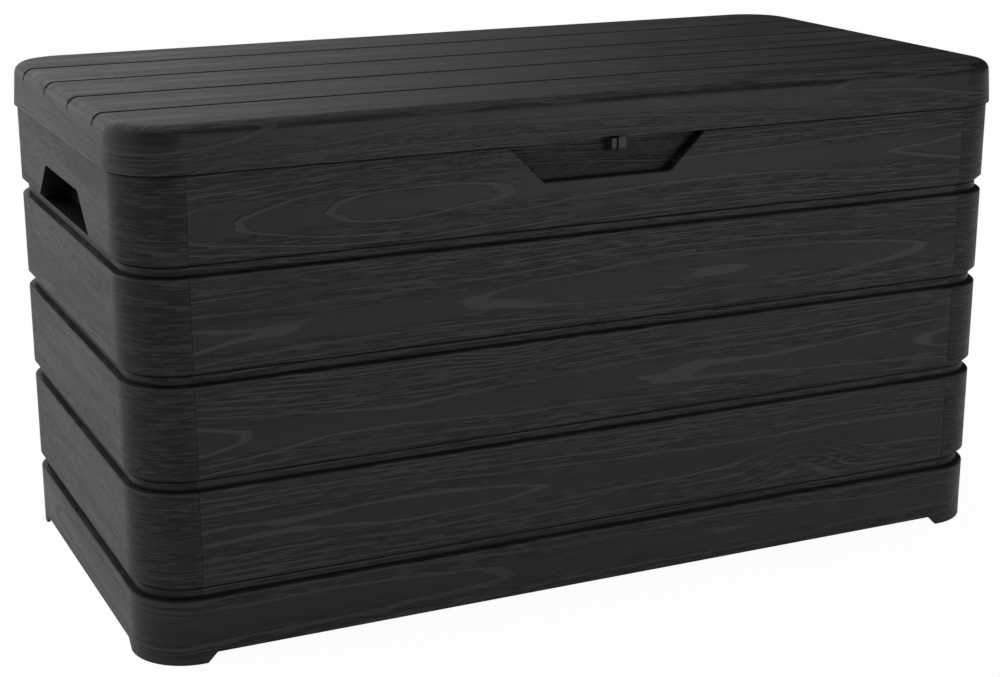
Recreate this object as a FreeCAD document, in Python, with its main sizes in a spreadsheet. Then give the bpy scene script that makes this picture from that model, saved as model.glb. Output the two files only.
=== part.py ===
import FreeCAD, Part
import math
import os

import Sketcher
from FreeCAD import Rotation, Vector

# Garden storage box: a resin chest of stacked planks with a lid that turns on three rear hinges.
# Origin at the centre of the footprint, +X along the width, +Y to the rear, +Z up, millimetres.

doc = FreeCAD.newDocument("GardenStorageBox")
sheet = doc.addObject("Spreadsheet::Sheet", "Dimensions")

# Tangent of half of a 45 degree turn, and the corners of an octagon round a circle of radius 1.
HALF_CORNER = math.tan(math.radians(22.5))
OCTAGON = [(1, HALF_CORNER), (HALF_CORNER, 1), (-HALF_CORNER, 1), (-1, HALF_CORNER)]
OCTAGON += [(-x, -y) for x, y in OCTAGON]

# How far a cut runs past the faces that it goes through.
MARGIN = 1.0


class Size:
    """A length in millimetres together with the sheet expression that it comes from."""

    def __init__(self, value, text):
        self.value = float(value)
        self.text = text

    def joined(self, sign, other, turned=False):
        left, right = (size_of(other), self) if turned else (self, size_of(other))
        results = {
            "+": left.value + right.value,
            "-": left.value - right.value,
            "*": left.value * right.value,
        }
        return Size(results[sign], "(%s %s %s)" % (left.text, sign, right.text))

    def __add__(self, other):
        return self.joined("+", other)

    def __radd__(self, other):
        return self.joined("+", other, True)

    def __sub__(self, other):
        return self.joined("-", other)

    def __rsub__(self, other):
        return self.joined("-", other, True)

    def __mul__(self, other):
        return self.joined("*", other)

    def __rmul__(self, other):
        return self.joined("*", other, True)

    def __neg__(self):
        return self.joined("*", -1)

    def __truediv__(self, number):
        return self.joined("*", 1.0 / number)


def size_of(number):
    """Give a bare number the form of a Size."""
    if isinstance(number, Size):
        return number
    return Size(number, "%.9g" % number if number >= 0 else "(%.9g)" % number)


def dimension(alias, value):
    """Write one driving dimension in the sheet and hand it back as a Size."""
    dimension.row += 1
    sheet.set("A%d" % dimension.row, alias)
    sheet.set("B%d" % dimension.row, str(value))
    sheet.setAlias("B%d" % dimension.row, alias)
    return Size(value, "Dimensions.%s" % alias)


dimension.row = 0

# Overall sizes
body_width = dimension("body_width", 1180)
body_depth = dimension("body_depth", 594)
corner_radius = dimension("corner_radius", 68)
wall = dimension("wall", 4)
rest_gap = dimension("rest_gap", 0.3)

# Planks of the walls
base_lip = dimension("base_lip", 79.5)
low_plank_pitch = dimension("low_plank_pitch", 131.5)
plank_pitch = dimension("plank_pitch", 125.5)
top_plank_height = dimension("top_plank_height", 117.5)
groove_depth = dimension("groove_depth", 8)
groove_wall = dimension("groove_wall", 12)
edge_bevel = dimension("edge_bevel", 1.5)
seam_inset = dimension("seam_inset", 70)
seam_gap = dimension("seam_gap", 0.4)
shoulder_rise = dimension("shoulder_rise", 4.5)
rim_inset = dimension("rim_inset", 6)
rim_rise = dimension("rim_rise", 32.5)

# Floor tray
foot_height = dimension("foot_height", 12)
foot_length = dimension("foot_length", 72)
floor_top = dimension("floor_top", 24)
floor_skin = dimension("floor_skin", 4)
floor_rib = dimension("floor_rib", 4)
border_width = dimension("border_width", 22)
curb_height = dimension("curb_height", 10)
channel_height = dimension("channel_height", 36)
channel_wall = dimension("channel_wall", 3.5)

# Corner joints between the walls
joint_web = dimension("joint_web", 3)
joint_reach = dimension("joint_reach", 18)
joint_lap = dimension("joint_lap", 15)
joint_foot = dimension("joint_foot", 2)
joint_head = dimension("joint_head", 12)
joint_gap = dimension("joint_gap", 0.4)
joint_hook_width = dimension("joint_hook_width", 15)
rail_width = dimension("rail_width", 4)

# Lid
lid_rise = dimension("lid_rise", 21)
lid_overhang = dimension("lid_overhang", 4)
lid_skin = dimension("lid_skin", 3)
lid_lean = dimension("lid_lean", 0.075)
lid_edge_radius = dimension("lid_edge_radius", 14)
lid_groove_pitch = dimension("lid_groove_pitch", 120)
lid_groove_width = dimension("lid_groove_width", 3.6)
lid_groove_depth = dimension("lid_groove_depth", 6.5)
lid_groove_end = dimension("lid_groove_end", 8)
lid_rib = dimension("lid_rib", 10)
lid_cross_rib = dimension("lid_cross_rib", 3)
lid_border = dimension("lid_border", 13)
lid_border_width = dimension("lid_border_width", 14)
boss_rise = dimension("boss_rise", 3.5)
boss_height = dimension("boss_height", 19)
boss_side = dimension("boss_side", 2)
notch_width = dimension("notch_width", 29)
notch_height = dimension("notch_height", 2)

# Hand holes in the ends
hand_hole_height = dimension("hand_hole_height", 53)
hand_hole_width = dimension("hand_hole_width", 166)
hand_hole_radius = dimension("hand_hole_radius", 10)
hand_hole_depth = dimension("hand_hole_depth", 40)
hand_hole_curve = dimension("hand_hole_curve", 8)

# Finger recess in the front
finger_drop = dimension("finger_drop", 47.5)
finger_width = dimension("finger_width", 170)
finger_depth = dimension("finger_depth", 16)
finger_radius = dimension("finger_radius", 8)
finger_bevel = dimension("finger_bevel", 1.2)

# Hinges
hinge_end = dimension("hinge_end", 210)
hinge_inset = dimension("hinge_inset", 5)
hinge_drop = dimension("hinge_drop", 11.5)
knuckle_radius = dimension("knuckle_radius", 6.5)
knuckle_gap = dimension("knuckle_gap", 0.5)
pin_radius = dimension("pin_radius", 2.5)
pin_clearance = dimension("pin_clearance", 0.05)
leaf_thickness = dimension("leaf_thickness", 3)
leaf_width = dimension("leaf_width", 78)
leaf_height = dimension("leaf_height", 30)
leaf_drop = dimension("leaf_drop", 15)
arm_thickness = dimension("arm_thickness", 4)
arm_width = dimension("arm_width", 35)
arm_back = dimension("arm_back", 1.5)
pocket_width = dimension("pocket_width", 92)
pocket_depth = dimension("pocket_depth", 13)
pocket_drop = dimension("pocket_drop", 17)
pocket_radius = dimension("pocket_radius", 5)

# Padlock eye and tab
eye_radius = dimension("eye_radius", 3.5)
eye_inset = dimension("eye_inset", 6.2)
eye_drop = dimension("eye_drop", 9.5)
eye_thickness = dimension("eye_thickness", 7)
eye_start = dimension("eye_start", 4)
eye_gap = dimension("eye_gap", 2)
eye_foot = dimension("eye_foot", 9)
eye_rise = dimension("eye_rise", 17)
eye_chamfer = dimension("eye_chamfer", 5)
eye_front = dimension("eye_front", 1)
eye_screw_spread = dimension("eye_screw_spread", 4.5)
tab_thickness = dimension("tab_thickness", 10)
tab_front = dimension("tab_front", 0.4)
tab_back = dimension("tab_back", 12)
tab_wing = dimension("tab_wing", 9.5)
tab_seat = dimension("tab_seat", 4)

# Screws
screw_shank = dimension("screw_shank", 1.9)
screw_head = dimension("screw_head", 3.8)
screw_head_height = dimension("screw_head_height", 2.2)
screw_clearance = dimension("screw_clearance", 0.2)
pilot_clearance = dimension("pilot_clearance", 0.1)
screw_bite = dimension("screw_bite", 2.5)
base_screw_rise = dimension("base_screw_rise", 22)

# Counts of what repeats
TRAY_COLUMNS = 7
TRAY_ROWS = 3
LID_COLUMNS = 8
LID_GROOVES = (-1.5, -0.5, 0.5, 1.5)
SIDE_SCREWS = (-1, 1)
SCREW_SIDES = 8

# Places worked out from the driving dimensions
nought = size_of(0)
half_width = body_width / 2
half_depth = body_depth / 2
seam = half_width - seam_inset
groove_height = groove_wall + groove_depth
lips = [base_lip + low_plank_pitch]
lips.append(lips[0] + plank_pitch)
lips.append(lips[1] + plank_pitch)
lid_line = lips[-1] + top_plank_height
shoulder = lid_line + shoulder_rise
rim_top = lid_line + rim_rise
overall_height = rim_top + lid_rise
wall_inner = groove_depth + wall
channel_inner = wall_inner + rest_gap
channel_top = floor_top + channel_height
joint_low = channel_top + joint_foot
joint_high = rim_top - joint_head
hand_hole_low = lips[-1] + groove_wall
hand_hole_top = hand_hole_low + hand_hole_height
finger_low = lid_line - finger_drop
hinge_height = lid_line - hinge_drop
pocket_low = hinge_height - pocket_drop
hinge_y = half_depth - hinge_inset
hinge_spacing = half_width - hinge_end
hinge_places = {"left": -hinge_spacing, "middle": nought, "right": hinge_spacing}
arm_face = hinge_y - arm_back
boss_low = lid_line + boss_rise
boss_top = boss_low + boss_height
boss_screw_height = boss_low + boss_height / 2
pilot = screw_shank + pilot_clearance
clear_hole = screw_shank + screw_clearance
eye_height = lid_line - eye_drop
eye_low = eye_height - eye_foot
tab_start = eye_start + eye_thickness + eye_gap
tab_end = tab_start + tab_thickness
hook_tip = seam + joint_web - joint_hook_width
rest_plane = rim_top + rest_gap
base_screw_height = floor_top + base_screw_rise


def bind(thing, name, size):
    """Tie one property to the sheet."""
    thing.setExpression(name, size_of(size).text)


def new_body(label):
    body = doc.addObject("PartDesign::Body", label)
    body.Label = label
    return body


def origin_item(body, role):
    return [item for item in body.Origin.OriginFeatures if item.Role == role][0]


def start_sketch(body, name, role, offset):
    sketch = body.newObject("Sketcher::SketchObject", name)
    sketch.AttachmentSupport = [(origin_item(body, role), "")]
    sketch.MapMode = "FlatFace"
    bind(sketch, "AttachmentOffset.Base.z", offset)
    return sketch


def hold(sketch, geometry, end, across, up):
    """Fix one point of a sketch at (across, up) from the origin."""
    for kind, axis, size in (("DistanceX", -2, size_of(across)), ("DistanceY", -1, size_of(up))):
        if size.text == nought.text:
            sketch.addConstraint(Sketcher.Constraint("PointOnObject", geometry, end, axis))
        else:
            rule = Sketcher.Constraint(kind, -1, 1, geometry, end, size.value)
            bind(sketch, "Constraints[%d]" % sketch.addConstraint(rule), size)


def draw_line(sketch, corners, closed=True):
    """Draw lines through corners (across, up, radius); a corner with no radius stays sharp."""
    corners = [tuple(corner) + (None,) * (3 - len(corner)) for corner in corners]
    spots = [Vector(size_of(corner[0]).value, size_of(corner[1]).value, 0) for corner in corners]
    count = len(corners)
    starts = list(spots)
    ends = list(spots)
    middles = {}
    for place, (across, up, radius) in enumerate(corners):
        if radius is None:
            continue
        back = (spots[place - 1] - spots[place]).normalize()
        ahead = (spots[(place + 1) % count] - spots[place]).normalize()
        half = back.getAngle(ahead) / 2
        round_size = size_of(radius).value
        ends[place] = spots[place] + back * (round_size / math.tan(half))
        starts[place] = spots[place] + ahead * (round_size / math.tan(half))
        inward = (back + ahead).normalize()
        middles[place] = spots[place] + inward * (round_size / math.sin(half) - round_size)
    lines = {}
    for place in range(count if closed else count - 1):
        line = Part.LineSegment(starts[place], ends[(place + 1) % count])
        lines[place] = sketch.addGeometry(line, False)
    for place, (across, up, radius) in enumerate(corners):
        line_in = lines.get((place - 1) % count)
        line_out = lines.get(place)
        if radius is not None:
            corner = sketch.addGeometry(Part.Point(spots[place]), True)
            sketch.addConstraint(Sketcher.Constraint("PointOnObject", corner, 1, line_in))
            sketch.addConstraint(Sketcher.Constraint("PointOnObject", corner, 1, line_out))
            arc = sketch.addGeometry(Part.Arc(ends[place], middles[place], starts[place]), False)
            first = 1 if sketch.getPoint(arc, 1).distanceToPoint(ends[place]) < 1e-6 else 2
            sketch.addConstraint(Sketcher.Constraint("Tangent", line_in, 2, arc, first))
            sketch.addConstraint(Sketcher.Constraint("Tangent", line_out, 1, arc, 3 - first))
            rule = Sketcher.Constraint("Radius", arc, size_of(radius).value)
            bind(sketch, "Constraints[%d]" % sketch.addConstraint(rule), radius)
            hold(sketch, corner, 1, across, up)
        elif line_out is None:
            hold(sketch, line_in, 2, across, up)
        else:
            if line_in is not None:
                sketch.addConstraint(Sketcher.Constraint("Coincident", line_in, 2, line_out, 1))
            hold(sketch, line_out, 1, across, up)


def draw_circles(sketch, places, radius):
    for across, up in places:
        centre = Vector(size_of(across).value, size_of(up).value, 0)
        ring = sketch.addGeometry(Part.Circle(centre, Vector(0, 0, 1), radius.value), False)
        rule = Sketcher.Constraint("Radius", ring, radius.value)
        bind(sketch, "Constraints[%d]" % sketch.addConstraint(rule), radius)
        hold(sketch, ring, 3, across, up)


def extrude(body, name, role, span, draw, cut=False, taper=None):
    """Pad or pocket what draw puts in a sketch, over a span (low, high) square to its plane.

    The XZ plane faces -Y, so its sketch starts from the other end of the span.
    """
    low, high = size_of(span[0]), size_of(span[1])
    start = high if cut else low
    if role == "XZ_Plane":
        start = -low if cut else -high
    volume = body.Shape.Volume if cut else 0
    sketch = start_sketch(body, name + "_sketch", role, start)
    draw(sketch)
    feature = body.newObject("PartDesign::Pocket" if cut else "PartDesign::Pad", name)
    feature.Profile = sketch
    feature.Type = "Length"
    bind(feature, "Length", high - low)
    if taper is not None:
        bind(feature, "TaperAngle", taper)
    doc.recompute()
    if cut and not body.Shape.Volume < volume:
        raise ValueError("%s of %s cuts nothing" % (name, body.Label))
    return feature


def pad(body, name, role, span, *loops, taper=None, cut=False):
    """Pad the shape inside closed loops of corners."""

    def draw(sketch):
        for loop in loops:
            draw_line(sketch, loop)

    return extrude(body, name, role, span, draw, cut, taper)


def pocket(body, name, role, span, *loops, taper=None):
    """Cut the shape inside closed loops of corners."""
    return pad(body, name, role, span, *loops, taper=taper, cut=True)


def rod(body, name, role, span, places, radius):
    return extrude(body, name, role, span, lambda sketch: draw_circles(sketch, places, radius))


def drill(body, name, role, span, places, radius):
    return extrude(body, name, role, span, lambda sketch: draw_circles(sketch, places, radius), True)


def screw_holes(body, name, role, span, places, radius):
    """Eight-sided holes whose flat sides touch a circle of the radius."""
    loops = [[(across + radius * x, up + radius * y) for x, y in OCTAGON] for across, up in places]
    return pocket(body, name, role, span, *loops)


def dress(body, kind, name, size, wanted):
    """Round (Fillet) or bevel (Chamfer) the edges whose ends and middle all pass the test."""
    feature = body.newObject("PartDesign::" + kind, name)
    base = feature.BaseFeature
    names = []
    for place, edge in enumerate(base.Shape.Edges):
        spots = [edge.valueAt(edge.FirstParameter), edge.valueAt(edge.LastParameter), edge.CenterOfMass]
        if all(wanted(spot) for spot in spots):
            names.append("Edge%d" % (place + 1))
    if not names:
        raise ValueError("%s of %s finds no edge" % (name, body.Label))
    feature.Base = (base, names)
    bind(feature, {"Fillet": "Radius", "Chamfer": "Size"}[kind], size)
    doc.recompute()


def near(number, size):
    return abs(number - size_of(size).value) < 1e-3


def underside_cells(body, span, half_x, rows, columns, rib):
    """Cut cells from -half_x to half_x with ribs between them; rows are spans along Y."""
    step = (half_x * 2 + rib) / columns
    loops = [rectangle(-half_x, step - rib - half_x, low, high) for low, high in rows]
    column = pocket(body, "cell_column", "XY_Plane", span, *loops)
    pattern = body.newObject("PartDesign::LinearPattern", "cells")
    pattern.Originals = [column]
    pattern.Direction = (origin_item(body, "X_Axis"), [""])
    pattern.Mode = "Spacing"
    bind(pattern, "Offset", step)
    pattern.Occurrences = columns
    body.Tip = pattern
    doc.recompute()


def plan(inset):
    """Corners of the plan outline of the walls, drawn in by an inset."""
    across, deep, radius = half_width - inset, half_depth - inset, corner_radius - inset
    corners = [(-across, -deep), (across, -deep), (across, deep), (-across, deep)]
    return [corner + (radius,) for corner in corners]


def rectangle(left, right, low, high):
    return [(left, low), (right, low), (right, high), (left, high)]


def straight_strips(outer, inner):
    """Plan of four straight strips between two insets, one along each wall, short of the corners."""
    across, deep = half_width - corner_radius, half_depth - corner_radius
    strips = []
    for side in (-1, 1):
        strips.append(rectangle(-across, across, *inset_span(side, half_depth, outer, inner)))
        strips.append(rectangle(*inset_span(side, half_width, outer, inner), -deep, deep))
    return strips


def facing(side, edge, line):
    """Turn (inset, height) points into sketch points on the wall whose outer face is at edge."""
    return [((edge - inset) * side, height) for inset, height in line]


def inset_span(side, edge, outer, inner):
    """Span between two insets behind the wall on one side, lower end first."""
    ends = ((edge - outer) * side, (edge - inner) * side)
    return ends if side < 0 else ends[::-1]


def mirrored_span(side, inner, outer):
    """Span between two distances from the middle plane, on one side of it."""
    return (-outer, -inner) if side < 0 else (inner, outer)


# Profile of the planks: each plank hangs over the lip of the one below by the depth of a groove.
def wall_line(depth, bevel=False):
    """The outer face of a wall, or a line at a depth behind it, from the tongue to the rim."""
    rise = depth * HALF_CORNER
    line = [
        (groove_depth + depth, floor_top),
        (groove_depth + depth, base_lip + groove_wall + rise),
        (depth, base_lip + groove_height + rise),
    ]
    for lip in lips:
        line += [(nought, lip - edge_bevel), (edge_bevel, lip)] if bevel else [(depth, lip - depth)]
        line += [
            (groove_depth + depth, lip - depth),
            (groove_depth + depth, lip + groove_wall + rise),
            (depth, lip + groove_height + rise),
        ]
    return line + [
        (depth, shoulder - depth),
        (rim_inset + depth, shoulder - depth),
        (rim_inset + depth, rim_top),
    ]


def inner_line():
    """The inner face of a wall, which follows the planks in square steps."""
    line = [(wall_inner, floor_top)]
    step = groove_height + wall * HALF_CORNER
    line += [(wall_inner, base_lip + step), (wall, base_lip + step)]
    for lip in lips:
        line += [(wall, lip - wall), (wall_inner, lip - wall)]
        line += [(wall_inner, lip + step), (wall, lip + step)]
    return line + [
        (wall, shoulder - wall),
        (rim_inset + wall, shoulder - wall),
        (rim_inset + wall, rim_top),
    ]


def wall_section(side, edge):
    return facing(side, edge, wall_line(nought, bevel=True) + inner_line()[::-1])


def joint_section(side, edge, lap):
    """Rib behind a wall, from the middle of its thickness to a straight edge at the lap."""
    middle = wall_line(wall / 2)
    line = [(middle[0][0], joint_low)] + middle[1:-1]
    line += [(middle[-1][0], joint_high), (lap, joint_high), (lap, joint_low)]
    return facing(side, edge, line)


# Pockets moulded in a wall: a block behind the wall is hollowed out from the front. Each pocket
# has three outlines: its opening, the block, and the part of the block inside the wall.
def moulded_pockets(body, name, role, side, edge, outlines, depth, split, curve=None):
    openings, deep, shallow = zip(*outlines)
    pad(body, name + "_deep", role, inset_span(side, edge, split, depth + wall), *deep)
    pad(body, name + "_shallow", role, inset_span(side, edge, wall / 2, split + MARGIN), *shallow)
    pocket(body, name, role, inset_span(side, edge, nought - MARGIN, depth), *openings)
    if curve is not None:
        hollow_face = (edge - depth) * side
        dress(body, "Fillet", name + "_curve", curve, lambda spot: near(spot.x, hollow_face))


def scoop(centre, low, half_low, slope, radius):
    """Outlines of a pocket that is open at the rim and whose sides lean out by slope."""
    outlines = []
    for grow, top in ((nought, rim_top + MARGIN), (wall, rim_top), (wall, None)):
        half = half_low + grow * (math.hypot(1, slope) - slope)
        wide = half_low + (shoulder - low) * slope + grow
        bend = shoulder - grow * HALF_CORNER
        foot = low - grow
        corners = [(centre - half, foot, radius + grow), (centre + half, foot, radius + grow)]
        if slope or top is None:
            corners.append((centre + wide, bend))
        if top is not None:
            corners += [(centre + wide, top), (centre - wide, top)]
        if slope or top is None:
            corners.append((centre - wide, bend))
        outlines.append(corners)
    return outlines


def hand_hole_outlines():
    """Outlines of the hand hole: 45 degree sides, rounded above, and open to the groove below."""
    low, high = hand_hole_low, hand_hole_top
    half_high = hand_hole_width / 2
    outlines = []
    for grow, foot in ((nought, low), (wall, low - wall), (wall, low + groove_depth)):
        half_top = half_high + grow * HALF_CORNER
        half_foot = half_top + (high + grow - foot)
        top_radius = hand_hole_radius + grow
        outlines.append([
            (-half_foot, foot),
            (half_foot, foot),
            (half_top, high + grow, top_radius),
            (-half_top, high + grow, top_radius),
        ])
    return outlines


# Floor tray: one moulding with feet, underside ribs, a lipped skirt and a channel for the walls.
def base_tray():
    body = new_body("base_tray")
    pad(body, "slab", "XY_Plane", (0, floor_top), plan(nought))
    foot_x, foot_y = half_width - foot_length, half_depth - foot_length
    for name, role, reach, edge in (
        ("front_arch", "XZ_Plane", foot_x, half_depth),
        ("end_arch", "YZ_Plane", foot_y, half_width),
    ):
        arch = [
            (-reach - MARGIN, nought - MARGIN),
            (reach + MARGIN, nought - MARGIN),
            (reach - foot_height, foot_height),
            (foot_height - reach, foot_height),
        ]
        pocket(body, name, role, (-edge - MARGIN, edge + MARGIN), arch)
    hollow = (nought - MARGIN, floor_top - floor_skin)
    border = wall + border_width
    pocket(body, "border", "XY_Plane", hollow, plan(wall), plan(border))
    half_x, half_y = half_width - border - floor_rib, half_depth - border - floor_rib
    step = (half_y * 2 + floor_rib) / TRAY_ROWS
    rows = [(step * row - half_y, step * (row + 1) - floor_rib - half_y) for row in range(TRAY_ROWS)]
    underside_cells(body, hollow, half_x, rows, TRAY_COLUMNS, floor_rib)
    ledge = groove_depth - rest_gap
    pad(body, "skirt", "XY_Plane", (floor_top, base_lip), plan(nought), plan(wall))
    pad(body, "lip", "XY_Plane", (base_lip - wall, base_lip), plan(wall - MARGIN), plan(ledge))
    curb = straight_strips(wall - MARGIN, ledge)
    pad(body, "curb", "XY_Plane", (floor_top, floor_top + curb_height), *curb)
    channel = straight_strips(channel_inner, channel_inner + channel_wall)
    pad(body, "channel", "XY_Plane", (floor_top, channel_top), *channel)
    dress(
        body, "Chamfer", "lip_edge", edge_bevel, lambda spot: near(spot.z, base_lip) and on_outer_plan(spot)
    )
    reach = half_depth - channel_inner + rest_gap / 2
    screw_holes(body, "long_holes", "XZ_Plane", (-reach, reach), long_screw_places(), clear_hole)
    reach = half_width - channel_inner + rest_gap / 2
    screw_holes(body, "end_holes", "YZ_Plane", (-reach, reach), end_screw_places(), clear_hole)


def on_outer_plan(spot):
    """True where a point lies on the outer outline of the walls."""
    radius = corner_radius.value
    across = abs(spot.x) - (half_width.value - radius)
    deep = abs(spot.y) - (half_depth.value - radius)
    if across > 0 and deep > 0:
        return near(math.hypot(across, deep), corner_radius)
    return near(max(across, deep), corner_radius)


def long_screw_places():
    return [(seam * (share / 2), base_screw_height) for share in SIDE_SCREWS]


def end_screw_places():
    return [(half_depth * (share / 2), base_screw_height) for share in SIDE_SCREWS]


def tongue_pilots(body, role, side, edge, places):
    """Blind holes for the base screws in the tongue of a wall."""
    tip = wall_inner - screw_bite - pilot_clearance
    span = inset_span(side, edge, tip, wall_inner + MARGIN)
    screw_holes(body, "pilots", role, span, places, pilot)


# Front and rear walls: straight planks between the two seams, with a rail near each end.
def long_panel(label, side):
    body = new_body(label)
    reach = seam - seam_gap
    pad(body, "planks", "YZ_Plane", (-reach, reach), wall_section(side, half_depth))
    rail_near = hook_tip + joint_web + joint_gap
    for name, end in (("left_rail", -1), ("right_rail", 1)):
        span = mirrored_span(end, rail_near, rail_near + rail_width)
        pad(body, name, "YZ_Plane", span, joint_section(side, half_depth, joint_lap - joint_gap))
    tongue_pilots(body, "XZ_Plane", side, half_depth, long_screw_places())
    return body


def front_panel():
    body = long_panel("front_panel", -1)
    outlines = [scoop(nought, finger_low, finger_width / 2, 1, finger_radius)]
    split = rim_inset + wall / 2
    moulded_pockets(body, "finger_recess", "XZ_Plane", -1, half_depth, outlines, finger_depth, split)
    low = (finger_low - MARGIN).value
    high = (shoulder + MARGIN).value
    reach = finger_width.value

    def on_outline(spot):
        return near(spot.y, -half_depth) and low < spot.z < high and abs(spot.x) < reach

    dress(body, "Chamfer", "finger_bevel", finger_bevel, on_outline)
    span = inset_span(-1, half_depth, finger_depth - MARGIN, finger_depth + wall + MARGIN)
    screw_holes(body, "eye_holes", "XZ_Plane", span, eye_screw_places(), clear_hole)


def back_panel():
    body = long_panel("back_panel", 1)
    split = rim_inset + wall / 2
    span = inset_span(1, half_depth, pocket_depth - MARGIN, pocket_depth + wall + MARGIN)
    centres = hinge_places.values()
    outlines = [scoop(centre, pocket_low, pocket_width / 2, 0, pocket_radius) for centre in centres]
    moulded_pockets(body, "hinge_pockets", "XZ_Plane", 1, half_depth, outlines, pocket_depth, split)
    screws = [spot for centre in centres for spot in body_leaf_screw_places(centre)]
    screw_holes(body, "leaf_holes", "XZ_Plane", span, screws, clear_hole)


# End walls: the planks swept round both corners, with the hand hole and a hook at each seam.
def end_panel(label, side):
    body = new_body(label)
    path = start_sketch(body, "path", "XY_Plane", nought)
    corners = [
        (seam * side, -half_depth),
        (half_width * side, -half_depth, corner_radius),
        (half_width * side, half_depth, corner_radius),
        (seam * side, half_depth),
    ]
    draw_line(path, corners, closed=False)
    section = start_sketch(body, "section", "YZ_Plane", seam * side)
    draw_line(section, wall_section(-1, half_depth))
    sweep = body.newObject("PartDesign::AdditivePipe", "planks")
    sweep.Profile = section
    sweep.Spine = (path, [""])
    doc.recompute()
    for name, end in (("front", -1), ("rear", 1)):
        web = mirrored_span(side, seam, seam + joint_web)
        pad(body, name + "_web", "YZ_Plane", web, joint_section(end, half_depth, joint_reach))
        hook = [
            (seam + joint_web, joint_reach),
            (hook_tip, joint_reach),
            (hook_tip, wall_inner + joint_gap),
            (hook_tip + joint_web, wall_inner + joint_gap),
            (hook_tip + joint_web, joint_lap),
            (seam + joint_web, joint_lap),
        ]
        hook = [(across * side, (half_depth - inset) * end) for across, inset in hook]
        pad(body, name + "_hook", "XY_Plane", (joint_low, joint_high), hook)
    split = groove_depth + MARGIN
    outlines = [hand_hole_outlines()]
    moulded_pockets(
        body, "hand_hole", "YZ_Plane", side, half_width, outlines, hand_hole_depth, split, hand_hole_curve
    )
    tongue_pilots(body, "YZ_Plane", side, half_width, end_screw_places())


# Lid: a leaning skirt, a rounded top edge, planks parted by grooves, and ribs underneath.
def lid_inset(height):
    """Inset of the outside of the skirt at a height."""
    return (height - lid_line) * lid_lean - lid_overhang


def lid_shell():
    body = new_body("lid_shell")
    lean = Size(math.degrees(math.atan(lid_lean.value)), "atan(%s)" % lid_lean.text)
    span = (lid_line, overall_height)
    pad(body, "block", "XY_Plane", span, plan(-lid_overhang), taper=-lean)
    dress(body, "Fillet", "top_edge", lid_edge_radius, lambda spot: near(spot.z, overall_height))
    inner = plan(lid_inset(rest_plane) + lid_skin)
    pocket(body, "skirt", "XY_Plane", (lid_line, rest_plane), inner, taper=lean)
    ceiling = (rest_plane, overall_height - lid_skin)
    border = lid_border + lid_border_width
    pocket(body, "border", "XY_Plane", ceiling, plan(lid_border), plan(border))
    half_x, half_y = half_width - border - lid_skin, half_depth - border - lid_skin
    edges = [-half_y]
    for share in LID_GROOVES:
        edges.append(lid_groove_pitch * share - lid_rib / 2)
        edges.append(lid_groove_pitch * share + lid_rib / 2)
    edges.append(half_y)
    rows = list(zip(edges[0::2], edges[1::2]))
    underside_cells(body, ceiling, half_x, rows, LID_COLUMNS, lid_cross_rib)
    half = lid_groove_width / 2
    walls = [(lid_groove_pitch * share - half, lid_groove_pitch * share + half) for share in LID_GROOVES]
    low, high = overall_height - lid_groove_depth, overall_height + MARGIN
    reach = half_width + lid_overhang
    pocket(body, "grooves", "YZ_Plane", (-reach, reach), *[rectangle(*pair, low, high) for pair in walls])
    ends = []
    for side in (-1, 1):
        span = mirrored_span(side, reach - lid_groove_end, reach + MARGIN)
        ends += [rectangle(*span, *pair) for pair in walls]
    pocket(body, "groove_ends", "XY_Plane", (overall_height - lid_edge_radius, high), *ends)
    notch = rectangle(tab_start - notch_width, tab_start, lid_line - MARGIN, lid_line + notch_height)
    span = inset_span(-1, half_depth, -lid_overhang - MARGIN, lid_skin)
    pocket(body, "shackle_notch", "XZ_Plane", span, notch)
    root = lid_inset(boss_top) + lid_skin / 3
    rear_seat = half_depth - arm_face - arm_thickness
    tip = screw_bite + pilot_clearance
    centres = hinge_places.values()
    arms = [(centre - arm_width / 2, centre + arm_width / 2) for centre in centres]
    arm_screws = [spot for centre in centres for spot in arm_screw_places(centre)]
    for name, side, spans, seat, spots in (
        ("tab", -1, [(tab_start - tab_wing, tab_end + tab_wing)], tab_seat, tab_screw_places()),
        ("hinge", 1, arms, rear_seat, arm_screws),
    ):
        blocks = [rectangle(low - boss_side, high + boss_side, boss_low, boss_top) for low, high in spans]
        pad(body, name + "_bosses", "XZ_Plane", inset_span(side, half_depth, root, seat), *blocks)
        span = inset_span(side, half_depth, seat - tip, seat + MARGIN)
        screw_holes(body, name + "_pilots", "XZ_Plane", span, spots, pilot)


# Hinges: a leaf with two knuckles on the rear wall, a leaf with one on the lid, and a plain pin
# that the sides of the pocket keep in.
def body_leaf_screw_places(centre):
    reach = (arm_width + leaf_width) / 4
    return [(centre - reach, hinge_height), (centre + reach, hinge_height)]


def arm_screw_places(centre):
    reach = arm_width / 4
    return [(centre - reach, boss_screw_height), (centre + reach, boss_screw_height)]


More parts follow.
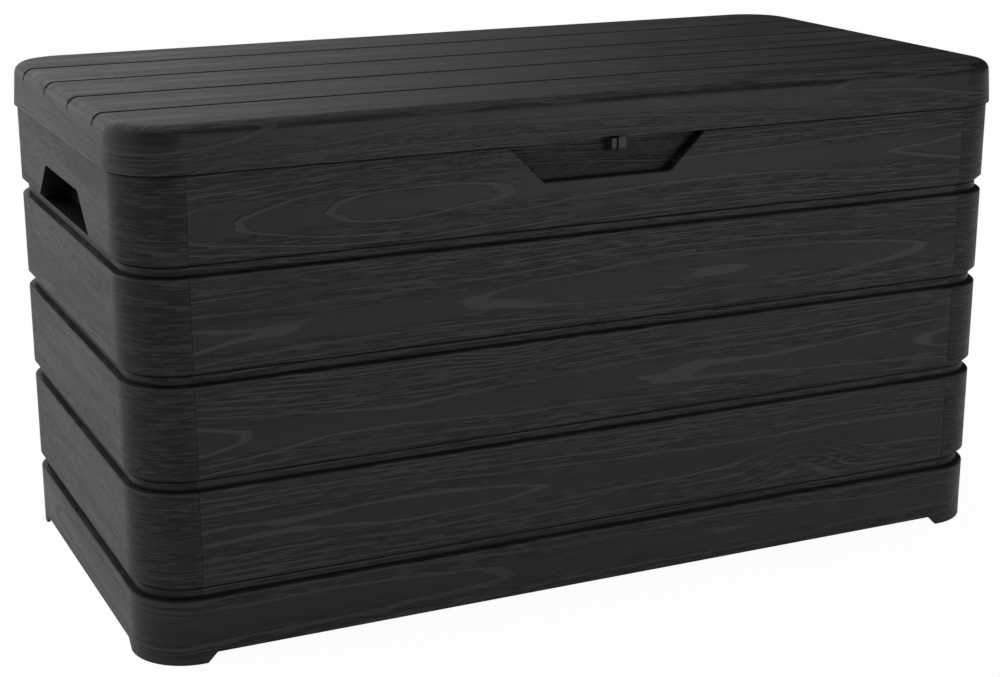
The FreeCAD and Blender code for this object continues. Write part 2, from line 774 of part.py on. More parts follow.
def hinge(place, centre):
    leaf = new_body("hinge_body_leaf_" + place)
    back = half_depth - pocket_depth
    left, right = centre - leaf_width / 2, centre + leaf_width / 2
    low = hinge_height - leaf_drop
    plate = rectangle(left, right, low, low + leaf_height)
    pad(leaf, "plate", "XZ_Plane", (back, back + leaf_thickness), plate)
    axis = [(hinge_y, hinge_height)]
    inner = arm_width / 2 + knuckle_gap
    web = rectangle(
        back + leaf_thickness / 2, hinge_y, hinge_height - knuckle_radius, hinge_height + knuckle_radius
    )
    for name, span in (("left", (left, centre - inner)), ("right", (centre + inner, right))):
        pad(leaf, name + "_web", "YZ_Plane", span, web)
        rod(leaf, name + "_knuckle", "YZ_Plane", span, axis, knuckle_radius)
    window_low = hinge_height - knuckle_radius - knuckle_gap
    window = rectangle(centre - inner, centre + inner, window_low, low + leaf_height)
    pocket(leaf, "window", "XZ_Plane", (back - MARGIN, back + leaf_thickness + MARGIN), window)
    bore = pin_radius + pin_clearance
    drill(leaf, "bore", "YZ_Plane", (left - MARGIN, right + MARGIN), axis, bore)
    span = (back - MARGIN, back + screw_bite + pilot_clearance)
    screw_holes(leaf, "pilots", "XZ_Plane", span, body_leaf_screw_places(centre), pilot)

    arm = new_body("hinge_lid_leaf_" + place)
    left, right = centre - arm_width / 2, centre + arm_width / 2
    plate = rectangle(left, right, hinge_height, boss_top)
    pad(arm, "arm", "XZ_Plane", (arm_face, arm_face + arm_thickness), plate)
    rod(arm, "knuckle", "YZ_Plane", (left, right), axis, knuckle_radius)
    drill(arm, "bore", "YZ_Plane", (left - MARGIN, right + MARGIN), axis, bore)
    span = (arm_face - MARGIN, arm_face + arm_thickness + MARGIN)
    screw_holes(arm, "holes", "XZ_Plane", span, arm_screw_places(centre), clear_hole)

    pin = new_body("hinge_pin_" + place)
    left, right = centre - leaf_width / 2, centre + leaf_width / 2
    rod(pin, "shank", "YZ_Plane", (left, right), axis, pin_radius)


# Padlock eye on the front wall, and beside it the tab that hangs from the lid.
def eye_screw_places():
    middle = eye_start + eye_thickness / 2
    height = eye_low + eye_rise / 2
    return [(middle, height - eye_screw_spread), (middle, height + eye_screw_spread)]


def tab_screw_places():
    return [(tab_start - tab_wing / 2, boss_screw_height), (tab_end + tab_wing / 2, boss_screw_height)]


def lock_eye():
    body = new_body("lock_eye")
    right = eye_start + eye_thickness
    top = eye_low + eye_rise
    plate = [
        (eye_front, eye_low + eye_chamfer),
        (eye_front + eye_chamfer, eye_low),
        (finger_depth, eye_low),
        (finger_depth, top),
        (eye_front, top),
    ]
    pad(body, "plate", "YZ_Plane", (eye_start, right), facing(-1, half_depth, plate))
    eye = facing(-1, half_depth, [(eye_inset, eye_height)])
    drill(body, "eye", "YZ_Plane", (eye_start - MARGIN, right + MARGIN), eye, eye_radius)
    tip = screw_bite + pilot_clearance
    span = inset_span(-1, half_depth, finger_depth - tip, finger_depth + MARGIN)
    screw_holes(body, "pilots", "XZ_Plane", span, eye_screw_places(), pilot)


def lock_tab():
    body = new_body("lock_tab")
    flange = rectangle(tab_start - tab_wing, tab_end + tab_wing, boss_low, boss_top)
    span = inset_span(-1, half_depth, tab_seat, tab_seat + leaf_thickness)
    pad(body, "flange", "XZ_Plane", span, flange)
    plate = [
        (tab_front, eye_low + eye_chamfer),
        (tab_front + eye_chamfer, eye_low),
        (tab_back, eye_low),
        (tab_back, boss_low + eye_chamfer),
        (tab_seat + leaf_thickness, boss_top),
        (tab_seat, boss_top),
        (tab_seat, boss_low - rest_gap),
        (tab_front, boss_low - rest_gap),
    ]
    pad(body, "plate", "YZ_Plane", (tab_start, tab_end), facing(-1, half_depth, plate))
    eye = facing(-1, half_depth, [(eye_inset, eye_height)])
    drill(body, "eye", "YZ_Plane", (tab_start - MARGIN, tab_end + MARGIN), eye, eye_radius)
    span = inset_span(-1, half_depth, tab_seat - MARGIN, tab_seat + leaf_thickness + MARGIN)
    screw_holes(body, "holes", "XZ_Plane", span, tab_screw_places(), clear_hole)


# Screws with eight flat sides: each seat is the point under the head, and aim is the way that the
# shank goes.
def screws(label, seats, length):
    group = doc.addObject("Part::Compound", label)
    group.Label = label
    made = []
    for number, (seat, aim) in enumerate(seats):
        solids = []
        for name, radius, back, reach in (
            ("shank", screw_shank, nought, length),
            ("head", screw_head, screw_head_height, screw_head_height),
        ):
            solid = doc.addObject("Part::Prism", "%s_%s_%d" % (label, name, number))
            solid.Polygon = SCREW_SIDES
            bind(solid, "Circumradius", radius)
            bind(solid, "Height", reach)
            solid.Placement.Rotation = Rotation(Vector(0, 0, 1), Vector(*aim))
            for axis, place, way in zip("xyz", seat, aim):
                bind(solid, "Placement.Base." + axis, place - back * way)
            solids.append(solid)
        screw = doc.addObject("Part::MultiFuse", "%s_%d" % (label, number))
        screw.Shapes = solids
        made.append(screw)
    group.Links = made
    doc.recompute()


def on_wall(side, inset, places, role="XZ_Plane"):
    """Seats on the inner side of a wall for the screws at places (across, up)."""
    if role == "XZ_Plane":
        aim = (0, side, 0)
        return [((size_of(across), (half_depth - inset) * side, up), aim) for across, up in places]
    aim = (side, 0, 0)
    return [(((half_width - inset) * side, size_of(across), up), aim) for across, up in places]


def all_screws():
    seats = []
    for side in (-1, 1):
        inset = channel_inner + channel_wall
        seats += on_wall(side, inset, long_screw_places())
        seats += on_wall(side, inset, end_screw_places(), "YZ_Plane")
    screws("base_screws", seats, channel_wall + rest_gap + screw_bite)
    screws("lock_eye_screws", on_wall(-1, finger_depth + wall, eye_screw_places()), wall + screw_bite)
    inset = tab_seat + leaf_thickness
    screws("lock_tab_screws", on_wall(-1, inset, tab_screw_places()), leaf_thickness + screw_bite)
    leaf_seats = []
    arm_seats = []
    for centre in hinge_places.values():
        leaf_seats += on_wall(1, pocket_depth + wall, body_leaf_screw_places(centre))
        arm_seats += on_wall(1, half_depth - arm_face, arm_screw_places(centre))
    screws("hinge_body_screws", leaf_seats, wall + screw_bite)
    screws("hinge_lid_screws", arm_seats, arm_thickness + screw_bite)


base_tray()
front_panel()
back_panel()
end_panel("left_end_panel", -1)
end_panel("right_end_panel", 1)
lid_shell()
for place, centre in hinge_places.items():
    hinge(place, centre)
lock_eye()
lock_tab()
all_screws()
doc.recompute()

for item in doc.Objects:
    if "Invalid" in item.State or "Error" in item.State:
        raise ValueError("%s failed: %s" % (item.Name, item.State))

pieces = [item for item in doc.Objects if item.TypeId in ("PartDesign::Body", "Part::Compound")]
os.makedirs("parts", exist_ok=True)
for piece in pieces:
    if piece.Shape.isNull() or not piece.Shape.isValid() or not piece.Shape.Solids:
        raise ValueError("%s has no valid shape" % piece.Label)
for piece in pieces:
    piece.Shape.exportStep(os.path.join("parts", piece.Label + ".step"))
    size = piece.Shape.BoundBox
    print(piece.Label, len(piece.Shape.Solids), round(piece.Shape.Volume), size)
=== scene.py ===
import math

import bpy
from mathutils import Matrix, Vector


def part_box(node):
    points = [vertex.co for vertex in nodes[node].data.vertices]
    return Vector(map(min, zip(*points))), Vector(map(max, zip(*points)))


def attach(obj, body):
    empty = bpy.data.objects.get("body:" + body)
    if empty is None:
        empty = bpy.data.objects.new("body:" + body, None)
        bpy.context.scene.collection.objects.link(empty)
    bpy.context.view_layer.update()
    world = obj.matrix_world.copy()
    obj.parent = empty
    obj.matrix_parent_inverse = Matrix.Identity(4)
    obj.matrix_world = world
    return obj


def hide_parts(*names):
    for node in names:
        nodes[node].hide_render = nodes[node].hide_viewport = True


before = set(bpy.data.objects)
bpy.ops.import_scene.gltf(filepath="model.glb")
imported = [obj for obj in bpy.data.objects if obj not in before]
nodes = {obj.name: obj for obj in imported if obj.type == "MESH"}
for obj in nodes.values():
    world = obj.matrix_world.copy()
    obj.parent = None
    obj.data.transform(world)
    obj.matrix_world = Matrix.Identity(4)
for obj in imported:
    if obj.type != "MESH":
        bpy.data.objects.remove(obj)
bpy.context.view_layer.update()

# The studio: a white room with a pale floor. A soft panel hangs above, another stands at the
# front right, and the light from the walls fades from bright at the left to dark at the right.


class Value:
    """A number or vector that varies over a surface; its operators add Math nodes."""

    def __init__(self, tree, socket):
        self.tree = tree
        self.socket = socket

    def math(self, operation, *others):
        return self.tree.add("Math", {"operation": operation}, dict(enumerate((self,) + others)))

    def __add__(self, other):
        return self.math("ADD", other)

    def __radd__(self, other):
        return self.math("ADD", other)

    def __sub__(self, other):
        return self.math("SUBTRACT", other)

    def __rsub__(self, other):
        return self.math("MULTIPLY_ADD", -1, other)

    def __mul__(self, other):
        return self.math("MULTIPLY", other)

    def __rmul__(self, other):
        return self.math("MULTIPLY", other)

    def __truediv__(self, other):
        return self.math("DIVIDE", other)

    def __gt__(self, other):
        return self.math("GREATER_THAN", other)

    def __lt__(self, other):
        return self.math("LESS_THAN", other)

    def __abs__(self):
        return self.math("ABSOLUTE")

    def at_least(self, other):
        return self.math("MAXIMUM", other)

    def at_most(self, other):
        return self.math("MINIMUM", other)

    def slope(self, low, high, start=0.0, end=1.0):
        """Goes smoothly from start at low to end at high."""
        ends = {"Value": self, "From Min": low, "From Max": high, "To Min": start, "To Max": end}
        return self.tree.add("MapRange", {"interpolation_type": "SMOOTHSTEP"}, ends)


class Tree:
    """The nodes of one material or of the world."""

    def __init__(self, owner):
        owner.use_nodes = True
        self.owner = owner
        self.nodes = owner.node_tree.nodes
        self.links = owner.node_tree.links
        self.nodes.clear()

    def add(self, kind, settings=None, inputs=None, out=0):
        """Adds a node: its settings first, then the values or links of its sockets."""
        node = self.nodes.new("ShaderNode" + kind)
        for name, value in (settings or {}).items():
            setattr(node, name, value)
        for name, value in (inputs or {}).items():
            if isinstance(value, Value):
                self.links.new(value.socket, node.inputs[name])
            else:
                node.inputs[name].default_value = value
        return Value(self, node.outputs[out]) if node.outputs else node

    def place(self, kind):
        """The three numbers of a place or of a direction."""
        vector = self.add("TexCoord", out=kind)
        split = self.add("SeparateXYZ", None, {"Vector": vector}).socket.node
        return [Value(self, socket) for socket in split.outputs]

    def point(self, x, y, z):
        return self.add("CombineXYZ", None, {"X": x, "Y": y, "Z": z})

    def noise(self, point, detail=2.0, roughness=0.5):
        settings = {"noise_dimensions": "3D"}
        inputs = {"Vector": point, "Scale": 1.0, "Detail": detail, "Roughness": roughness}
        return self.add("TexNoise", settings, inputs)

    def blend(self, share, first, second):
        """A colour between two: sockets 6 and 7 take them, and output 2 is the result."""
        inputs = {"Factor": share, 6: first, 7: second}
        return self.add("Mix", {"data_type": "RGBA"}, inputs, out=2)

    def output(self, kind, surface):
        """Links the surface to the output, and gives back the material or world."""
        self.add(kind, None, {"Surface": surface})
        return self.owner


WHITE = (1.0, 1.0, 1.0, 1.0)
BRIGHT_WALL = 0.90
DARK_WALL = 0.02

world = bpy.data.worlds.new("studio")
bpy.context.scene.world = world
studio = Tree(world)
right, rear = studio.place("Generated")[:2]
wall_light = right.slope(0.0, 0.56, 1.0, 0.0) * rear.slope(-0.75, 0.2)
seen = studio.add("LightPath", out="Is Camera Ray")
strength = seen + (1 - seen) * (wall_light * BRIGHT_WALL + DARK_WALL)
sky = studio.add("Background", None, {"Color": WHITE, "Strength": strength})
studio.output("OutputWorld", sky)

FLOOR_SIZE = 40
FLOOR_PAINT = (0.86, 0.86, 0.86, 1.0)
FLOOR_GLOW = 1.03
GLOW_SEEN = 0.94
GLOW_MIRRORED = 0.35

bpy.ops.mesh.primitive_plane_add(size=FLOOR_SIZE, location=(0, 0, 0))
floor = bpy.context.object
floor.name = "floor"
pale = Tree(bpy.data.materials.new("pale_floor"))
paint = pale.add("BsdfDiffuse", None, {"Color": FLOOR_PAINT})
glow = pale.add("Emission", None, {"Color": WHITE, "Strength": FLOOR_GLOW})
seen = pale.add("LightPath", out="Is Camera Ray")
mirrored = pale.add("LightPath", out="Is Glossy Ray")
share = seen * GLOW_SEEN + mirrored * GLOW_MIRRORED
mixed = pale.add("MixShader", None, {0: share, 1: paint, 2: glow})
floor.data.materials.append(pale.output("OutputMaterial", mixed))

LIT_POINT = Vector((0.0, 0.0, 0.3))
PANELS = (
    ("top_panel", (0.3, -0.6, 3.4), 3.0, 16.0),
    ("front_panel_light", (1.5, -3.7, 0.6), 2.0, 30.0),
)
for name, place, size, power in PANELS:
    lamp = bpy.data.lights.new(name, "AREA")
    lamp.shape = "SQUARE"
    lamp.size = size
    lamp.energy = power
    panel = bpy.data.objects.new(name, lamp)
    panel.location = place
    panel.rotation_euler = (LIT_POINT - Vector(place)).to_track_quat("-Z", "Y").to_euler()
    bpy.context.scene.collection.objects.link(panel)

CAMERA_PLACE = (-1.0939, -2.3423, 1.0092)
LOOKS_DOWN = 0.28519
TURNED_RIGHT = 0.4350

camera = bpy.data.objects.new("camera", bpy.data.cameras.new("camera"))
camera.data.lens = 70.94
camera.data.sensor_width = 36.0
camera.data.clip_start = 0.05
camera.location = CAMERA_PLACE
camera.rotation_euler = (math.pi / 2 - LOOKS_DOWN, 0.0, -TURNED_RIGHT)
bpy.context.scene.collection.objects.link(camera)
bpy.context.scene.camera = camera
bpy.context.scene.view_settings.view_transform = "Standard"

# Base tray: the floor of the box with its skirt and feet, one moulding of charcoal polypropylene.
# The grain in its outer faces is a flat cut through the rings of a trunk: the lines run straight
# near the edges of a plank and close up to arches along its heart. Inner faces are smooth.
CHARCOAL = (0.0110, 0.0110, 0.0114, 1.0)
GREY = (0.0750, 0.0750, 0.0765, 1.0)
# Painted shade darkens the colour towards this near black.
NEAR_BLACK = (0.002, 0.002, 0.002, 1.0)

PLAIN_TONE = 0.09
LINE_TONE = 0.56
PATCH_TONE = 0.07
SCRATCH_TONE = 0.12
# How far the painted light lifts the tone.
PAINTED_LIGHT_TONE = 0.3

PLANK_SHIFT = 2.37
RINGS = 1500.0
RING_DRIFT = 6.0
RIPPLE = 0.35
HEART_DRIFT = 0.05
KNOT_RINGS = 2.2
KNOT_REACH = 0.13
NARROW_LINE = 0.05
WIDER_OUTWARDS = 3.0


def grained(name, place, arches=1.0, depth=0.0008, gloss=0.25):
    """Charcoal resin with embossed grain. The function place turns a point into the way along
    and across its plank, the plank's number, a shade that is painted shade above 0 and painted
    light below, and 1 on the outer faces. Each number has a grain of its own."""
    tree = Tree(bpy.data.materials.new(name))
    x, y, z = tree.place("Object")
    along, across, plank, shade, outer = place(tree, x, y, z)
    along = along + plank * PLANK_SHIFT

    def drawn_out(along_rate, across_rate, seed, roughness=0.5):
        """Noise with its spots drawn out along the plank."""
        point = tree.point(along * along_rate, across * across_rate, plank * seed)
        return tree.noise(point, 2.0, roughness)

    heart = (tree.noise(tree.point(along * 0.8, plank * 3.1, 0.5), 1.0) - 0.5) * HEART_DRIFT
    off = across - heart
    far = abs(off)
    drift = tree.noise(tree.point(along * 1.5, plank * 5.3, 7.5), 1.0) * RING_DRIFT
    wave = drawn_out(3.0, 18.0, 1.7)
    ripple = drawn_out(11.0, 70.0, 1.3) * RIPPLE
    knot = tree.add(
        "TexVoronoi",
        {"voronoi_dimensions": "2D", "feature": "F1"},
        {"Vector": tree.point(along * 0.33, across + plank * 0.71, 0.0), "Scale": 3.4},
    )
    round_knot = knot.slope(0.0, KNOT_REACH, KNOT_RINGS, 0.0)
    rings = off * off * RINGS + drift + wave + ripple + round_knot
    to_line = 0.5 - abs(rings.math("FRACT") - 0.5)
    line_width = far * WIDER_OUTWARDS + NARROW_LINE
    fade = drawn_out(6.0, 70.0, 4.1)
    unbroken = far.slope(0.012, 0.035, 1.0, 0.0) * arches
    line = (to_line / line_width).slope(1.25, 0.55) * fade.slope(0.42, 0.52).at_least(unbroken)
    clear = far.slope(0.006, 0.022, 1 - arches, 1.0) * (1 - line * arches) * fade.slope(0.34, 0.46)
    streak = drawn_out(26.0, 400.0, 2.9, 0.6)
    dash = streak.slope(0.51, 0.58) * clear
    scratch = streak.slope(0.46, 0.39) * clear * outer
    relief = (line * arches).at_least(dash * 0.8) * outer
    patch = drawn_out(2.5, 26.0, 6.1).slope(0.42, 0.58)
    tone = relief * LINE_TONE + patch * PATCH_TONE - scratch * SCRATCH_TONE + PLAIN_TONE
    # Painted light: where the shade is below 0 the tone is lifted.
    tone = tone - shade.at_most(0.0) * PAINTED_LIGHT_TONE
    # Painted shade: where the shade is above 0 the colour is darkened towards near black and made
    # rougher.
    dark = shade.at_least(0.0)
    speckle = tree.noise(tree.point(x * 900.0, y * 900.0, z * 900.0), 1.0)
    height = relief - scratch * 0.6 + speckle * 0.10
    surface = tree.add(
        "BsdfPrincipled",
        None,
        {
            "Base Color": tree.blend(dark, tree.blend(tone, CHARCOAL, GREY), NEAR_BLACK),
            "Roughness": 0.34 + relief * 0.16 + patch * 0.05 + dark * 0.4,
            "Specular IOR Level": gloss,
            "Normal": tree.add("Bump", None, {"Height": height, "Strength": 0.8, "Distance": depth}),
        },
    )
    return tree.output("OutputMaterial", surface)


LIPS = (0.0795, 0.211, 0.3365, 0.462)
MIDDLES = (0.045, 0.145, 0.274, 0.399, 0.521)
GAP_HEIGHT = 0.0195
GAP_DEPTH = 0.008
STEP_HEIGHT = 0.0125
LID_EDGE = 0.5797
CORNER_CENTRE = (0.522, 0.229)
CORNER_RADIUS = 0.068
OUTER_SKIN = 0.0015


def plank_of(z):
    """Number of the plank, height above its middle, painted shade and painted light, and the gap above
    each lip.
    """
    plank = 0
    middle = MIDDLES[0]
    shade = 0.0
    gap = 0.0
    for lip, lower, upper in zip(LIPS, MIDDLES, MIDDLES[1:]):
        plank = (z > lip) + plank
        middle = (z > lip) * (upper - lower) + middle
        gap = (z > lip - 0.0005) * (z < lip + GAP_HEIGHT) + gap
        # At each lip: a painted highlight just below it, a painted shadow just above it, a painted
        # light on the groove wall, a painted shadow line at the step under the plank above, and a
        # painted light on that plank's underside slope.
        painted_lip_highlight = z.slope(lip - 0.0026, lip - 0.0014) * (z < lip + 0.0001)
        painted_foot_shadow = z.slope(lip + 0.0045, lip + 0.002) * (z > lip + 0.0002) * 0.85
        painted_groove_light = z.slope(lip + 0.0045, lip + 0.0055) * (z < lip + 0.0109) * 0.5
        painted_step_shadow = abs(z - (lip + STEP_HEIGHT)).slope(0.0016, 0.0008)
        painted_underside_light = (z > lip + 0.0142) * z.slope(lip + 0.021, lip + GAP_HEIGHT)
        shade = painted_foot_shadow + painted_step_shadow - painted_lip_highlight - painted_groove_light - painted_underside_light + shade
    # A painted shadow in a thin band just below the lid's lower edge.
    painted_lid_shadow = z.slope(LID_EDGE - 0.0034, LID_EDGE - 0.0024) * (z < LID_EDGE)
    return plank, z - middle, shade + painted_lid_shadow, gap


def outline(x, y):
    """Distance outwards from the rectangle between the centres of the four round corners."""
    wide = (abs(x) - CORNER_CENTRE[0]).at_least(0.0)
    deep = (abs(y) - CORNER_CENTRE[1]).at_least(0.0)
    return (wide * wide + deep * deep).math("SQRT")


def outside(x, y, gap):
    """1 on the outer faces of the wall, 0 on its smooth inner faces."""
    return outline(x, y) + gap * GAP_DEPTH > CORNER_RADIUS - OUTER_SKIN


def dress(name, finish):
    """Gives a node its material."""
    materials = nodes[name].data.materials
    materials.clear()
    materials.append(finish)


def shade_evenly(name):
    """Smooth shading over the curves of a large moulding, with its edges kept sharp."""
    shell = nodes[name]
    shell.modifiers.new("weld", "WELD").merge_threshold = 0.00001
    shell.modifiers.new("split", "EDGE_SPLIT").split_angle = math.radians(25)
    shading = shell.modifiers.new("shading", "WEIGHTED_NORMAL")
    shading.mode = "FACE_AREA"
    shading.keep_sharp = True


TRAY_GRAIN = 60.0


def tray_place(tree, x, y, z):
    plank, across, shade, gap = plank_of(z)
    # The tray keeps only the painted light at its lip, none of the painted shade.
    return x + y, across, plank + TRAY_GRAIN, shade.at_most(0.0), outside(x, y, gap)


dress("base_tray", grained("grained_base_tray", tray_place, 0.8))
shade_evenly("base_tray")

# Front and rear walls: four straight planks each, moulded in one of the same resin. They stand in
# the channel of the tray, and the front one has the finger recess, whose floor is grained too.
REAR_GRAIN = 9.0
RECESS_GRAIN = 3.0
RECESS_SHADE = 0.22
RECESS_BOTTOM = 0.52
RECESS_FLOOR = -0.2805
FRONT_FACE = -0.2965


def long_wall(tree, x, y, z):
    plank, across, shade, gap = plank_of(z)
    recess = (y > FRONT_FACE) * (y < 0.0) * (z > RECESS_BOTTOM)
    plank = plank + (y > 0.0) * REAR_GRAIN + recess * RECESS_GRAIN
    outer = outside(x, y, gap).at_least(recess * (y < RECESS_FLOOR))
    # The recess is painted a little darker, as painted shade.
    return x, across, plank, shade + recess * RECESS_SHADE, outer


long_wall_finish = grained("grained_wall", long_wall)
for name in ("front_panel", "back_panel"):
    dress(name, long_wall_finish)
    shade_evenly(name)

# End walls: the same planks carried round both corners, each moulded in one with its hand hole.
# They slide over the rails of the long walls. Their grain is rough and dull, with faint arches.
LEFT_GRAIN = 20.0
RIGHT_GRAIN = 40.0
FAINT_ARCHES = 0.25
DULL = 0.19


def left_wall(tree, x, y, z):
    plank, across, shade, gap = plank_of(z)
    return y - x, across, plank + LEFT_GRAIN, shade, outside(x, y, gap)


def right_wall(tree, x, y, z):
    plank, across, shade, gap = plank_of(z)
    return y + x, across, plank + RIGHT_GRAIN, shade, outside(x, y, gap)


for name, place in (("left_end_panel", left_wall), ("right_end_panel", right_wall)):
    dress(name, grained("grained_" + name, place, FAINT_ARCHES, gloss=DULL))
    shade_evenly(name)

# Lid: one moulding of the same resin, screwed to three hinge leaves. Grooves part its top into
# five planks and run on over both ends, which are painted a little lighter as painted light.
TOP_GRAIN = 80.0
RIM_GRAIN = 97.0
PLANK_PITCH = 0.12
RIM_MIDDLE = 0.622
LID_FLAT = 0.626
LID_LEAN = 0.075
LID_SKIN = 0.114
OUTER_GROOVES = 0.25
HOOK_START = 0.578
HOOK_BOTTOM = 0.613
GROOVE_SHADE = 0.9
# Height of the painted highlight along the lower edge of the lid's ends.
EDGE_HIGHLIGHT_HEIGHT = 0.0015


def lid_place(tree, x, y, z):
    flat = tree.place("Normal")[2] > 0.6
    number = (y * (1 / PLANK_PITCH)).math("ROUND")
    top_across = y - number * PLANK_PITCH
    along = x + y * 0.45 * (1 - flat)
    across = top_across * flat + (z - RIM_MIDDLE) * (1 - flat)
    plank = (number + TOP_GRAIN) * flat + (1 - flat) * RIM_GRAIN
    hook = (abs(x) > HOOK_START) * (z > HOOK_BOTTOM)
    # Painted shade: the grooves and a narrow band beside them are darkened, also where they run down
    # over the ends.
    groove = abs(top_across).slope(0.0540, 0.0572) * (z > LID_FLAT).at_least(hook)
    groove = groove * (abs(y) < OUTER_GROOVES)
    # Painted light: the end skirts are lightened, with a brighter painted highlight along their lower
    # edge.
    end = abs(x).slope(0.560, 0.592)
    painted_end_light = end * (z < LID_EDGE + EDGE_HIGHLIGHT_HEIGHT) * 1.5 + end * (z < LID_FLAT) * 0.8
    outer = (outline(x, y) + z * LID_LEAN > LID_SKIN).at_least(z > LID_FLAT + 0.0002)
    return along, across, plank, groove * GROOVE_SHADE - painted_end_light, outer


lid_finish = grained("grained_lid", lid_place, 0.8, 0.0005)
dress("lid_shell", lid_finish)
shade_evenly("lid_shell")

# Groove bridges: eight short U-shaped ribs moulded in one with the lid. Each carries a groove of
# the top over the hollow channel behind the lid's left or right edge, and keeps the rain out.
BRIDGE_WIDTH = 0.010
BRIDGE_FLOOR = 0.003
BRIDGE_ARM = 0.0037
GROOVE_HALF = 0.0018
GROOVE_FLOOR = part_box("lid_shell")[1][2] - 0.0065
GROOVE_ROWS = (-0.18, -0.06, 0.06, 0.18)
CHANNEL_START = 0.5625
CHANNEL_END = 0.5775
HAIR = 0.000001


def join_copies(first, matrices, name):
    """Joins a copy of the first mesh at each matrix into one new piece."""
    bpy.ops.object.select_all(action="DESELECT")
    for matrix in matrices:
        copy = first.copy()
        copy.data = first.data.copy()
        copy.data.transform(matrix)
        bpy.context.scene.collection.objects.link(copy)
        copy.select_set(True)
        bpy.context.view_layer.objects.active = copy
    bpy.ops.object.join()
    joined = bpy.context.object
    joined.name = name
    return joined


bpy.ops.object.select_all(action="DESELECT")
bpy.ops.mesh.primitive_plane_add(size=1.0, location=(0.0, 0.0, 0.0))
bridge = bpy.context.object
bpy.ops.object.mode_set(mode="EDIT")
bpy.ops.transform.resize(value=(BRIDGE_WIDTH, BRIDGE_FLOOR, 1.0), center_override=(0.0, 0.0, 0.0))
bpy.ops.transform.translate(value=(0.0, -BRIDGE_FLOOR / 2, 0.0))
for cut in (-GROOVE_HALF, GROOVE_HALF):
    bpy.ops.mesh.select_all(action="SELECT")
    bpy.ops.mesh.bisect(plane_co=(cut, 0.0, 0.0), plane_no=(1.0, 0.0, 0.0))
bpy.ops.mesh.select_all(action="DESELECT")
bpy.ops.mesh.select_mode(type="EDGE")
bpy.ops.object.mode_set(mode="OBJECT")
spots = bridge.data.vertices
for edge in bridge.data.edges:
    first, last = (spots[index].co for index in edge.vertices)
    middle = (first + last) / 2
    edge.select = middle.y > -HAIR and abs(middle.x) > GROOVE_HALF + HAIR
bpy.ops.object.mode_set(mode="EDIT")
bpy.ops.mesh.extrude_edges_move(TRANSFORM_OT_translate={"value": (0.0, BRIDGE_ARM, 0.0)})
bpy.ops.mesh.select_mode(type="FACE")
bpy.ops.mesh.select_all(action="SELECT")
bridge_length = (0.0, 0.0, CHANNEL_END - CHANNEL_START)
bpy.ops.mesh.extrude_region_move(TRANSFORM_OT_translate={"value": bridge_length})
bpy.ops.mesh.select_all(action="SELECT")
bpy.ops.mesh.normals_make_consistent(inside=False)
bpy.ops.object.mode_set(mode="OBJECT")
bridge.data.materials.append(lid_finish)
upright = Matrix(((0, 0, 1), (1, 0, 0), (0, 1, 0))).to_4x4()
bridge_seats = [
    Matrix.Translation((start, row, GROOVE_FLOOR)) @ upright
    for start in (CHANNEL_START, -CHANNEL_END)
    for row in GROOVE_ROWS
]
bridges = join_copies(bridge, bridge_seats, "groove_bridges")
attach(bridges, "lid")
bpy.data.objects.remove(bridge)

# Hinge leaves, padlock eye and tab: smooth charcoal resin, moulded with slightly rounded edges.
# The leaves are screwed in the pockets of the rear wall and to the lid.
smooth = Tree(bpy.data.materials.new("smooth_resin"))
x, y, z = smooth.place("Object")
cloud = smooth.noise(smooth.point(x * 60.0, y * 60.0, z * 60.0))
speckle = smooth.noise(smooth.point(x * 1500.0, y * 1500.0, z * 1500.0))
surface = smooth.add(
    "BsdfPrincipled",
    None,
    {
        "Base Color": smooth.blend(cloud, CHARCOAL, GREY),
        "Roughness": 0.36 + cloud * 0.1,
        "Specular IOR Level": 0.3,
        "Normal": smooth.add("Bump", None, {"Height": speckle, "Strength": 0.2, "Distance": 0.0002}),
    },
)
smooth_resin = smooth.output("OutputMaterial", surface)
for name, node in nodes.items():
    if "leaf" in name or name in ("lock_eye", "lock_tab"):
        dress(name, smooth_resin)
        node.modifiers.new("weld", "WELD").merge_threshold = 0.00001
        rounding = node.modifiers.new("rounding", "BEVEL")
        rounding.width = 0.0005
        rounding.segments = 2
        rounding.angle_limit = math.radians(40)
        rounding.harden_normals = True

# Hinge pins: plain rods of zinc plated steel through the knuckles of the leaves. The sides of the
# hinge pockets keep them in.
DULL_ZINC = (0.36, 0.36, 0.37, 1.0)
BRIGHT_ZINC = (0.52, 0.52, 0.53, 1.0)

steel = Tree(bpy.data.materials.new("plated_steel"))
x, y, z = steel.place("Object")
cloud = steel.noise(steel.point(x * 400.0, y * 400.0, z * 400.0), 3.0)
surface = steel.add(
    "BsdfPrincipled",
    None,
    {
        "Base Color": steel.blend(cloud, DULL_ZINC, BRIGHT_ZINC),
        "Roughness": 0.28 + cloud * 0.2,
        "Metallic": 1.0,
    },
)
plated_steel = steel.output("OutputMaterial", surface)
for name in nodes:
    if "pin" in name:
        dress(name, plated_steel)

# Screws: the same steel, with a round stepped head, a cross recess and a pointed shank. They hold
# the walls in the tray, and the leaves, the eye and the tab on their seats.
HEAD_RADIUS = 0.0036
HEAD_HEIGHT = 0.0022
SHANK_RADIUS = 0.0016
SCREW_LENGTH = 0.0085
TIP_LENGTH = 0.0015
HEAD_SIDES = 12
CROSS_WAIST = 0.37
CROSS_DEPTH = 0.55
CROSS_BOTTOM = 0.75


def pick(mesh, wanted):
    """Selects the faces whose middle and normal pass the test."""
    bpy.ops.mesh.select_all(action="DESELECT")
    bpy.ops.object.mode_set(mode="OBJECT")
    for face in mesh.polygons:
        face.select = wanted(face.center, face.normal)
    bpy.ops.object.mode_set(mode="EDIT")


def raise_face(height, size=1.0):
    """Extrudes the selected face along Z and scales its end."""
    bpy.ops.mesh.extrude_region_move(TRANSFORM_OT_translate={"value": (0.0, 0.0, height)})
    bpy.ops.transform.resize(value=(size, size, 1.0), center_override=(0.0, 0.0, 0.0))


